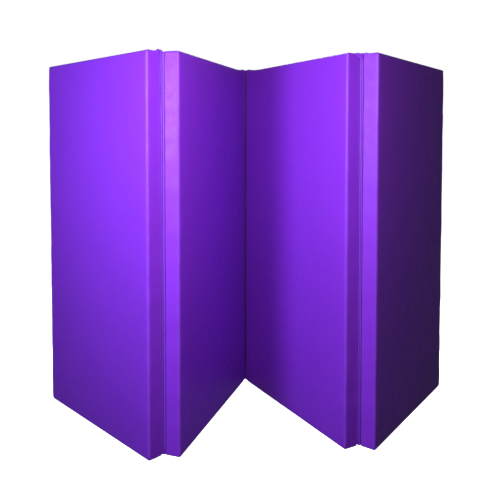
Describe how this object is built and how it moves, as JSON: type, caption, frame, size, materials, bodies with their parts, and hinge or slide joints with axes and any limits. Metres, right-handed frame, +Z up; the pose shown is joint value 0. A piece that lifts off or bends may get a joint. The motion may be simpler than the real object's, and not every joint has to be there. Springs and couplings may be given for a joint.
{
  "type": "folding gymnastics mat",
  "caption": "Folding foam gymnastics mat in a sewn vinyl cover, hinged in equal panels and standing on edge in a zigzag.",
  "frame": {"origin": "on the floor, under the middle of the standing mat's overall box", "axes": "+Z up along the panels' long sides and the fold lines, +X from the hook end to the loop end across the zigzag, -Y the side that the two ridges point to"},
  "size_m": [1.4684, 0.607, 1.2234],
  "materials": {
    "cover_vinyl": "satin",
    "hinge_vinyl": "satin",
    "foam": "matte",
    "zipper_tape": "matte",
    "zipper_coil": "satin",
    "zipper_metal": "satin",
    "hook_tape": "matte",
    "loop_tape": "matte"
  },
  "bodies": {
    "panel_1": {"panel_1_foam_core": "foam", "panel_1_front_cover": "cover_vinyl", "panel_1_back_cover": "cover_vinyl", "panel_1_bottom_band": "cover_vinyl", "panel_1_top_band_front": "cover_vinyl", "panel_1_top_band_back": "cover_vinyl", "panel_1_zipper_tape_front": "zipper_tape", "panel_1_zipper_tape_back": "zipper_tape", "panel_1_zipper_coil": "zipper_coil", "panel_1_zipper_stop_left": "zipper_metal", "panel_1_zipper_stop_right": "zipper_metal", "fold_1_hinge_strip": "hinge_vinyl", "hook_fastener": "hook_tape"},
    "zipper_slider_1": {"panel_1_zipper_slider": "zipper_metal"},
    "zipper_pull_1": {"panel_1_zipper_pull": "zipper_metal"},
    "panel_2": {"panel_2_foam_core": "foam", "panel_2_front_cover": "cover_vinyl", "panel_2_back_cover": "cover_vinyl", "panel_2_bottom_band": "cover_vinyl", "panel_2_top_band_front": "cover_vinyl", "panel_2_top_band_back": "cover_vinyl", "panel_2_zipper_tape_front": "zipper_tape", "panel_2_zipper_tape_back": "zipper_tape", "panel_2_zipper_coil": "zipper_coil", "panel_2_zipper_stop_left": "zipper_metal", "panel_2_zipper_stop_right": "zipper_metal", "fold_2_hinge_strip": "hinge_vinyl"},
    "zipper_slider_2": {"panel_2_zipper_slider": "zipper_metal"},
    "zipper_pull_2": {"panel_2_zipper_pull": "zipper_metal"},
    "panel_3": {"panel_3_foam_core": "foam", "panel_3_front_cover": "cover_vinyl", "panel_3_back_cover": "cover_vinyl", "panel_3_bottom_band": "cover_vinyl", "panel_3_top_band_front": "cover_vinyl", "panel_3_top_band_back": "cover_vinyl", "panel_3_zipper_tape_front": "zipper_tape", "panel_3_zipper_tape_back": "zipper_tape", "panel_3_zipper_coil": "zipper_coil", "panel_3_zipper_stop_left": "zipper_metal", "panel_3_zipper_stop_right": "zipper_metal", "fold_3_hinge_strip": "hinge_vinyl"},
    "zipper_slider_3": {"panel_3_zipper_slider": "zipper_metal"},
    "zipper_pull_3": {"panel_3_zipper_pull": "zipper_metal"},
    "panel_4": {"panel_4_foam_core": "foam", "panel_4_front_cover": "cover_vinyl", "panel_4_back_cover": "cover_vinyl", "panel_4_bottom_band": "cover_vinyl", "panel_4_top_band_front": "cover_vinyl", "panel_4_top_band_back": "cover_vinyl", "panel_4_zipper_tape_front": "zipper_tape", "panel_4_zipper_tape_back": "zipper_tape", "panel_4_zipper_coil": "zipper_coil", "panel_4_zipper_stop_left": "zipper_metal", "panel_4_zipper_stop_right": "zipper_metal", "loop_fastener": "loop_tape"},
    "zipper_slider_4": {"panel_4_zipper_slider": "zipper_metal"},
    "zipper_pull_4": {"panel_4_zipper_pull": "zipper_metal"}
  },
  "joints": [
    {"name": "fold_1", "type": "hinge", "parent": "panel_2", "child": "panel_1", "pos_m": [-0.27309, -0.27307, 0], "axis": [0, 0, 1], "range_deg": [-63.8, 116.2]},
    {"name": "fold_2", "type": "hinge", "parent": "panel_2", "child": "panel_3", "pos_m": [-0.01986, 0.28405, 0], "axis": [0, 0, 1], "range_deg": [-49, 131]},
    {"name": "fold_3", "type": "hinge", "parent": "panel_3", "child": "panel_4", "pos_m": [0.32803, -0.21942, 0], "axis": [0, 0, 1], "range_deg": [-113.4, 66.6]},
    {"name": "zipper_1_slide", "type": "slide", "parent": "panel_1", "child": "zipper_slider_1", "axis": [-0.6997, 0.7145, 0], "range_m": [0, 0.536]},
    {"name": "zipper_1_pull", "type": "hinge", "parent": "zipper_slider_1", "child": "zipper_pull_1", "pos_m": [-0.3184, -0.26524, 1.22075], "axis": [0.7145, 0.6997, 0], "range_deg": [0, 180]},
    {"name": "zipper_2_slide", "type": "slide", "parent": "panel_2", "child": "zipper_slider_2", "axis": [-0.3322, -0.9432, 0], "range_m": [0, 0.536]},
    {"name": "zipper_2_pull", "type": "hinge", "parent": "zipper_slider_2", "child": "zipper_pull_2", "pos_m": [-0.05745, 0.25827, 1.22075], "axis": [-0.9432, 0.3322, 0], "range_deg": [0, 180]},
    {"name": "zipper_3_slide", "type": "slide", "parent": "panel_3", "child": "zipper_slider_3", "axis": [-0.4939, 0.8695, 0], "range_m": [0, 0.536]},
    {"name": "zipper_3_pull", "type": "hinge", "parent": "zipper_slider_3", "child": "zipper_pull_3", "pos_m": [0.28646, -0.20071, 1.22075], "axis": [0.8695, 0.4939, 0], "range_deg": [0, 180]},
    {"name": "zipper_4_slide", "type": "slide", "parent": "panel_4", "child": "zipper_slider_4", "axis": [-0.6018, -0.7986, 0], "range_m": [0, 0.536]},
    {"name": "zipper_4_pull", "type": "hinge", "parent": "zipper_slider_4", "child": "zipper_pull_4", "pos_m": [0.69453, 0.22224, 1.22075], "axis": [-0.7986, 0.6018, 0], "range_deg": [0, 180]}
  ]
}
